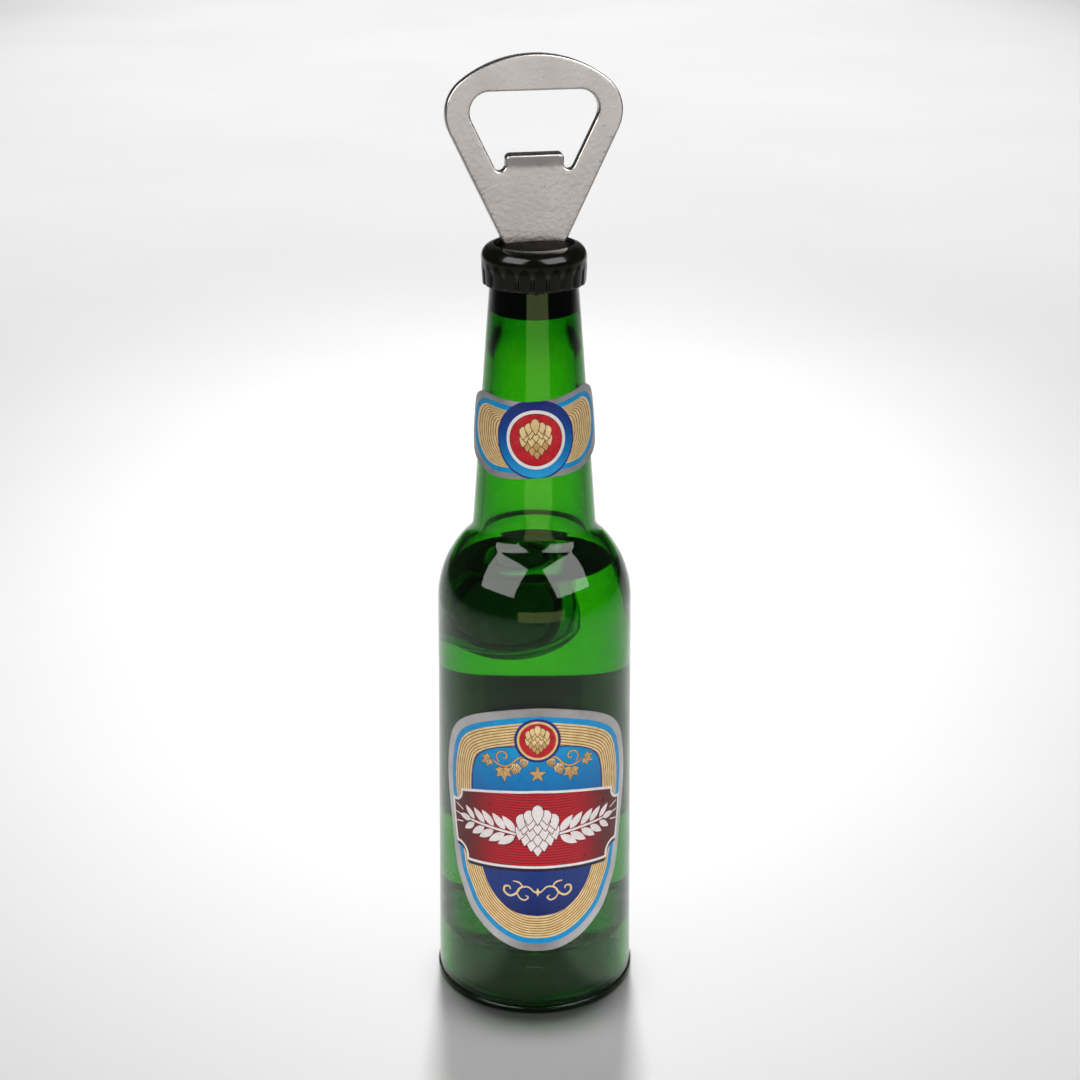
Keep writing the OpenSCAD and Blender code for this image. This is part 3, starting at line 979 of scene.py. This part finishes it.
def arch_outline():
    half = [(0, 48.75), (4.2, 48.6), (7.1, 47.9), (9.2, 46.7), (10.3, 44.9), (10.7, 42.4),
            (10.8, 38)]
    top = spline(half, 5, closed=False)
    return counterclockwise([(-u, v) for u, v in top] + top[:0:-1])


def bowl_outline():
    half = [(9.5, 34), (9.2, 29), (8.5, 26.4), (7.3, 24), (5.4, 21.9), (3.0, 20.6), (0, 20.2)]
    side = spline(half, 5, closed=False)
    return counterclockwise([(-u, v) for u, v in side] + side[-2::-1])


def front_art():
    half = [(u, FRONT_LABEL_Z + v) for u, v in FRONT_EDGE]
    outline = spline(half + mirrored(half[1:-1]), 5)
    art = bordered(outline, 1.4, 0.95, 8, 0.45)
    picture = []
    for name, shape in (("arch_blue", arch_outline()), ("field_navy", bowl_outline())):
        picture += [("navy", inset(shape, -0.22)), (name, shape)]
    vine = vine_side()
    picture += vine + flipped(vine)
    picture += [("shadow", star(0, 44.3, 1.65)), ("deep_gold", star(0, 44.3, 1.42))]
    picture += roundel(0, 49.9, [("navy", 3.6), ("brown", 3.24), ("gold", 3.16),
                                 ("deep_gold", 2.9), ("red", 2.78)], (4.6, 0.09))
    picture += [("shadow", moved(banner_outline(), 0, -0.75)),
                ("cream", banner_outline(0.22)),
                ("brown", banner_outline(-0.2)),
                ("banner_red", banner_outline(-0.28))]
    ears = barley_ear((2.1, 33.9), (11.2, 34.9), 0.15)
    ears += flipped(ears)
    picture += [("dark_red", moved(shape, 0.14, -0.22)) for _, shape in ears] + ears
    picture.append(("dark_red", moved(circle(0, 34.6, 2.6, 32), 0.14, -0.4)))
    picture += hop_cone(0, 34.6, 8.4, 0.12, 0.0, ("dark_red", "cream", "cream"))
    scroll = scroll_side()
    picture += scroll + flipped(scroll) + [("gold", moved(star(0, 0, 0.75, 4), 0, 24.2))]
    return outline, art + fitted(picture)


NECK_LABEL_MID = 95.1
NECK_LABEL_TILT = radians(3.2)


def neck_art():
    edge = [(0, -6.1), (3.6, -6.2), (7.0, -6.1), (9.6, -5.4), (11.5, -3.6), (12.2, -1.2),
            (12.4, 1.0), (12.1, 3.4), (11.3, 5.3), (9.7, 6.25), (7.4, 6.2), (3.8, 5.7), (0, 5.5)]
    outline = spline(edge + mirrored(edge[1:-1]), 6)
    half = [(0, -4.45), (4, -4.5), (7.0, -4.35), (9.0, -3.5), (10.25, -1.9), (10.75, 0),
            (10.8, 1.6), (10.3, 3.4), (9.1, 4.45), (7.2, 4.55), (3.8, 4.1), (0, 3.85)]
    field = spline(half + mirrored(half)[1:-1], 6)
    art = [("silver_foil", outline), ("light_blue", inset(field, -0.8)), ("gold", field)]
    for k in range(9):
        reach = 0.955 - 0.05 * k
        art += [("gold_line", moved(field, scale=reach)),
                ("gold", moved(field, scale=reach - 0.015))]
    art += roundel(0, -0.25, [("navy", 6.05), ("ring_blue", 5.78), ("cream", 4.5),
                              ("brown", 4.0), ("red", 3.9)], (5.9, 0.11))
    return outline, art


def back_art():
    """A plain panel: silver edge, blue line, gold pinstripes and an empty pale field."""
    half = BACK_LABEL_HALF * barrel_radius((BACK_LABEL_LOW + BACK_LABEL_HIGH) / 2)
    corner = 2.0
    low, high = BACK_LABEL_LOW + corner, BACK_LABEL_HIGH - corner
    edge = []
    for quarter, (side, level) in enumerate(((1, low), (1, high), (-1, high), (-1, low)), -1):
        start = quarter * PI / 2
        edge += arc(side * (half - corner), level, corner, start, start + PI / 2, 8)
    art = bordered(edge, 1.2, 0.8, 3, 0.42)
    art += [("navy", inset(edge, 3.6)), ("cream", inset(edge, 3.85))]
    return edge, art


# ---- labels
def on_surface(radius_of, turn, peel=0.0):
    """Wraps (u, z) in millimetres round a body; the ends may stand off it by a peel."""
    def place(u, z, lift):
        a = turn + u / radius_of(z)
        r = radius_of(z) + lift + peel * smooth_step((abs(u) - 8.5) / 4)
        return (r * sin(a) * MM, -r * cos(a) * MM, z * MM)
    return place


def make_label(name, outline, art, place, spacing, offset=0.0, tilt=0.0):
    """A sticker: the art's shapes, each painted over those before it, on a thin wrapped sheet."""
    flat, triangles = flat_filled([shape for _, shape in art], spacing,
                                  lambda c: within(c, outline))
    centres = flat[triangles].mean(1)
    slots = np.zeros(len(triangles), int)
    for ink_name, shape in art:
        slots[within(centres, shape)] = SLOT[ink_name]
    count = len(flat)
    vertices = [place(u, v, lift) for lift in (LABEL_T, LABEL_GAP)
                for u, v in moved(flat.tolist(), 0, offset, tilt)]
    faces = both_sides(triangles, count)
    rim = boundary_edges(triangles)
    faces += [(b, a, a + count, b + count) for a, b in rim]
    slots = slots.tolist() + [SLOT["label_backing"]] * len(triangles)
    slots += [SLOT["silver_foil"]] * len(rim)
    used = sorted(set(slots))
    slots = [used.index(k) for k in slots]
    piece = add_piece(name, vertices, faces, [INKS[k] for k in used], slots, 60)
    layer = piece.data.uv_layers.new(name="print")
    corner = np.zeros(len(piece.data.loops), int)
    piece.data.loops.foreach_get("vertex_index", corner)
    layer.data.foreach_set("uv", (flat[corner % count] / 10).ravel())
    return piece


# ---- build
def build():
    """Makes every piece, as a dictionary from the CAD node that it replaces."""
    front, back = (on_surface(barrel_radius, turn - LABEL_TURN) for turn in (0, PI))
    neck = on_surface(neck_radius, -LABEL_TURN, 0.75)
    pieces = {
        "bottle_body": make_bottle(),
        "base_cap": make_base(),
        "crown_cap": make_cap(),
        "opener_plate": make_plate(),
        "magnet": make_magnet(),
        "magnet_glue": make_glue(),
        "filling_liquid": make_liquid(),
        "front_label": make_label("front_sticker", *front_art(), front, 0.9),
        "neck_label": make_label("neck_sticker", *neck_art(), neck, 0.6,
                                 NECK_LABEL_MID, NECK_LABEL_TILT),
        "back_label": make_label("back_sticker", *back_art(), back, 1.0),
    }
    for node, piece in pieces.items():
        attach(piece, "root")
        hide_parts(node)
    return pieces


# ---- set
CAMERA_AZIMUTH = radians(-11)
CAMERA_PITCH = radians(21.06)
CAMERA_YAW = radians(0.17)
CAMERA_DISTANCE = 0.2949
CAMERA_HEIGHT = 0.1893
SENSOR = 36
FOCAL_SHARE = 2034 / 1080
FLOOR_TONE = 0.88
WORLD_GLOW = 0.045


def around(azimuth, distance, height):
    """A place at a distance from the Z axis, its azimuth in degrees from the camera's."""
    a = CAMERA_AZIMUTH + radians(azimuth)
    return (sin(a) * distance, -cos(a) * distance, height)


def make_camera():
    data = bpy.data.cameras.new("camera")
    data.sensor_width = SENSOR
    data.lens = SENSOR * FOCAL_SHARE
    data.clip_start = 0.01
    camera = bpy.data.objects.new("camera", data)
    camera.location = around(0, CAMERA_DISTANCE, CAMERA_HEIGHT)
    camera.rotation_euler = (PI / 2 - CAMERA_PITCH, 0, CAMERA_AZIMUTH - CAMERA_YAW)
    scene.collection.objects.link(camera)
    scene.camera = camera


def add_lamp(name, kind, energy, location):
    data = bpy.data.lights.new(name, kind)
    data.energy = energy
    lamp = bpy.data.objects.new(name, data)
    lamp.location = location
    lamp.visible_camera = False
    scene.collection.objects.link(lamp)
    return lamp


def softbox(name, azimuth, elevation, distance, size, radiance, seen_by, receivers=(),
            target=0.06, tint=(1, 1, 1)):
    """A rectangular lamp that faces the object from a given side of the camera.

    seen_by is "reflections", for a lamp that only shows in glossy surfaces, or "matt", for one that
    only lights matt ones. With receivers, the lamp lights only those pieces.
    """
    e = radians(elevation)
    lamp = add_lamp(name, "AREA", radiance * PI * size[0] * size[1],
                    around(azimuth, cos(e) * distance, target + sin(e) * distance))
    lamp.data.shape = "RECTANGLE"
    lamp.data.size, lamp.data.size_y = size
    lamp.data.color = tint
    away = lamp.location - Vector((0, 0, target))
    lamp.rotation_euler = away.to_track_quat("Z", "Y").to_euler()
    lamp.visible_transmission = False
    lamp.visible_diffuse = seen_by == "matt"
    lamp.visible_glossy = seen_by == "reflections"
    if receivers:
        group = bpy.data.collections.new(name + "_receivers")
        for receiver in receivers:
            group.objects.link(receiver)
        lamp.light_linking.receiver_collection = group


def floor_pool(name, behind, height, half_length, half_width, radiance, blend):
    """A soft oval pool of light on the floor behind the object, from straight above."""
    energy = radiance * PI / FLOOR_TONE * 4 * PI * height ** 2
    lamp = add_lamp(name, "SPOT", energy, around(0, -behind, height))
    lamp.data.spot_size = 2 * atan(half_length / height)
    lamp.data.spot_blend = blend
    lamp.data.shadow_soft_size = 0.12
    lamp.rotation_euler = (0, 0, CAMERA_AZIMUTH)
    lamp.scale = (half_width / half_length, 1, 1)
    lamp.visible_glossy = False


def make_lights(pieces):
    everything = pieces.values()
    softbox("left_window", -48, 39, 0.62, (0.51, 0.44), 4.4, "reflections")
    softbox("right_window", 50, 38, 0.62, (0.51, 0.44), 4.4, "reflections")
    softbox("left_fill", -32, 2, 0.6, (0.5, 0.14), 7.1, "matt", everything)
    softbox("right_fill", 36, 2, 0.6, (0.5, 0.14), 7.1, "matt", everything)
    softbox("low_card", 8, 0, 0.36, (0.36, 0.08), 1.25, "reflections", [pieces["bottle_body"]],
            0.043, (0.8, 1.0, 0.35))
    softbox("plate_card", 22, 0, 0.45, (0.6, 0.4), 0.98, "reflections",
            [pieces["opener_plate"]], 0.14)
    floor_pool("near_pool", 0.155, 1.5, 0.29, 0.16, 0.6, 0.7)
    floor_pool("far_pool", 1.15, 2.6, 1.9, 0.8, 0.95, 0.85)
    scene.world = bpy.data.worlds.new("world")
    scene.world.use_nodes = True
    background = scene.world.node_tree.nodes["Background"]
    background.inputs["Color"].default_value = (1, 1, 1, 1)
    background.inputs["Strength"].default_value = WORLD_GLOW


def make_floor():
    """A pale sweep: floor in front, rising in a wide curve behind."""
    look = Look("pale_sweep", {"Roughness": 0.75})
    tone = look.ramp(look.noise(6, 3, 0.5), (0.3, (0.86, 0.86, 0.86)), (0.7, (0.9, 0.9, 0.9)))
    look.fill({"Base Color": tone})
    half_width, front, bend_y, bend_r, top = 3.0, -1.6, 1.7, 0.9, 2.2
    profile = [(front + 0.3 * i, 0.0) for i in range(11)]
    profile += [(bend_y + bend_r * sin(t), bend_r - bend_r * cos(t))
                for t in np.linspace(0, PI / 2, 16)]
    profile.append((bend_y + bend_r, top))
    vertices = [(x, y, z) for y, z in profile for x in (-half_width, half_width)]
    faces = [(2 * i, 2 * i + 1, 2 * i + 3, 2 * i + 2) for i in range(len(profile) - 1)]
    sweep = add_piece("sweep", vertices, faces, [look.material])
    sweep.rotation_euler = (0, 0, CAMERA_AZIMUTH)


def set_view():
    scene.view_settings.view_transform = "Standard"
    cycles = scene.cycles
    cycles.max_bounces = 24
    cycles.transmission_bounces = 24
    cycles.glossy_bounces = 8
    cycles.transparent_max_bounces = 24
    cycles.caustics_refractive = False
    cycles.caustics_reflective = False


PIECES = build()
make_camera()
make_lights(PIECES)
make_floor()
set_view()
